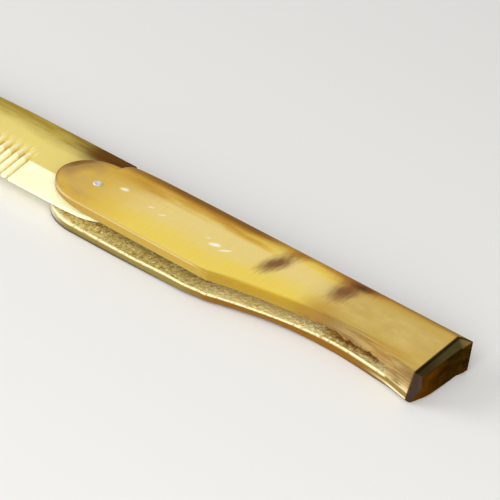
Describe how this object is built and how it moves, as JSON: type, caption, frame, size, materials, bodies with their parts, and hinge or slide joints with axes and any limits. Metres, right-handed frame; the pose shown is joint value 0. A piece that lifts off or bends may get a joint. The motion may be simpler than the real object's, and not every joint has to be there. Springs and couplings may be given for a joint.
{
  "type": "folding comb",
  "caption": "Horn pocket comb that turns on a rivet and folds, teeth first, into a slot in its one-piece handle, which is hollowed at the waist.",
  "frame": {"origin": "middle of the open comb's footprint, at the level of the handle's lower face", "axes": "+X along the handle from the rivet to the butt, +Y towards the backs of the comb and the handle, +Z out of the handle's upper face"},
  "size_m": [0.191, 0.0268, 0.0103],
  "materials": {
    "handle_horn": "polished translucent blond horn with cloudy cream, amber and brown figure",
    "comb_horn": "satin pale blond horn with fine lengthwise striations",
    "rivet_steel": "turned, bright rim"
  },
  "bodies": {
    "handle": {"handle": "handle_horn", "rivet": "rivet_steel"},
    "comb": {"comb": "comb_horn"}
  },
  "joints": [
    {"name": "comb_pivot", "type": "hinge", "parent": "handle", "child": "comb", "pos_m": [-0.0075, -0.0033, 0.005], "axis": [0, 0, 1], "range_deg": [0, 180]}
  ]
}
